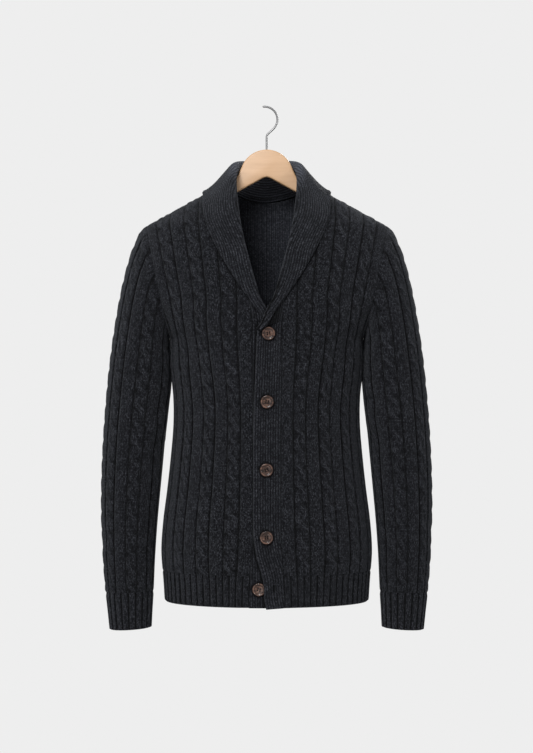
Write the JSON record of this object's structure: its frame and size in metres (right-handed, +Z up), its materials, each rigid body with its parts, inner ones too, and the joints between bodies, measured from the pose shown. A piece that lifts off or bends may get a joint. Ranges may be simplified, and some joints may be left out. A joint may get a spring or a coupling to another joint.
{
  "type": "shawl collar cardigan on a hanger",
  "caption": "Cable-knit shawl collar cardigan with button front, ribbed hem and cuffs, hanging closed and filled out on a wooden hanger with a steel hook.",
  "frame": {"origin": "inner crown of the hanger's hook, where a rail bears", "axes": "+Z up; the wearer's front faces -Y; +X is the wearer's left"},
  "size_m": [0.5466, 0.2175, 0.8632],
  "materials": {
    "cable_knit": "heathered wool yarn in cable and rib stitch",
    "band_knit": "heathered wool yarn in fine rib stitch",
    "button_horn": "polished horn look",
    "hanger_wood": "satin lacquer",
    "hanger_steel": "plain wire"
  },
  "bodies": {
    "root": {"front_right": "cable_knit", "front_left": "cable_knit", "back": "cable_knit", "sleeve_right": "cable_knit", "sleeve_left": "cable_knit", "cuff_right": "cable_knit", "cuff_left": "cable_knit", "hem_front_right": "cable_knit", "hem_front_left": "cable_knit", "hem_back": "cable_knit", "collar": "band_knit", "band_right": "band_knit", "band_left": "band_knit", "button_1": "button_horn", "button_2": "button_horn", "button_3": "button_horn", "button_4": "button_horn", "button_5": "button_horn", "hanger_body": "hanger_wood", "hanger_hook": "hanger_steel"}
  },
  "joints": []
}
